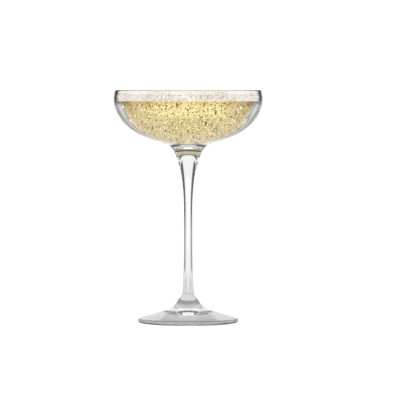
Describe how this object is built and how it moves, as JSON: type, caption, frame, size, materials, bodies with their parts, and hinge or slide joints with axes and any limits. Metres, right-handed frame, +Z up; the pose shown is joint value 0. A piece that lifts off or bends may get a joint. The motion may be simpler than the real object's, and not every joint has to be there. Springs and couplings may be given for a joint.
{
  "type": "glass of champagne",
  "caption": "Champagne saucer: a wide shallow stemmed glass, standing, filled with sparkling wine under a layer of foam.",
  "frame": {"origin": "centre of the foot's contact ring, in the plane that the glass stands on", "axes": "+Z up along the glass's axis of revolution; X and Y are any two level directions, as the glass is round"},
  "size_m": [0.106, 0.106, 0.165],
  "materials": {
    "glass": "clear polished soda-lime glass",
    "champagne": "clear golden sparkling wine full of small bubbles",
    "foam": "fine white foam of small bubbles"
  },
  "bodies": {
    "root": {"glass": "glass", "champagne": "champagne", "foam": "foam"}
  },
  "joints": []
}
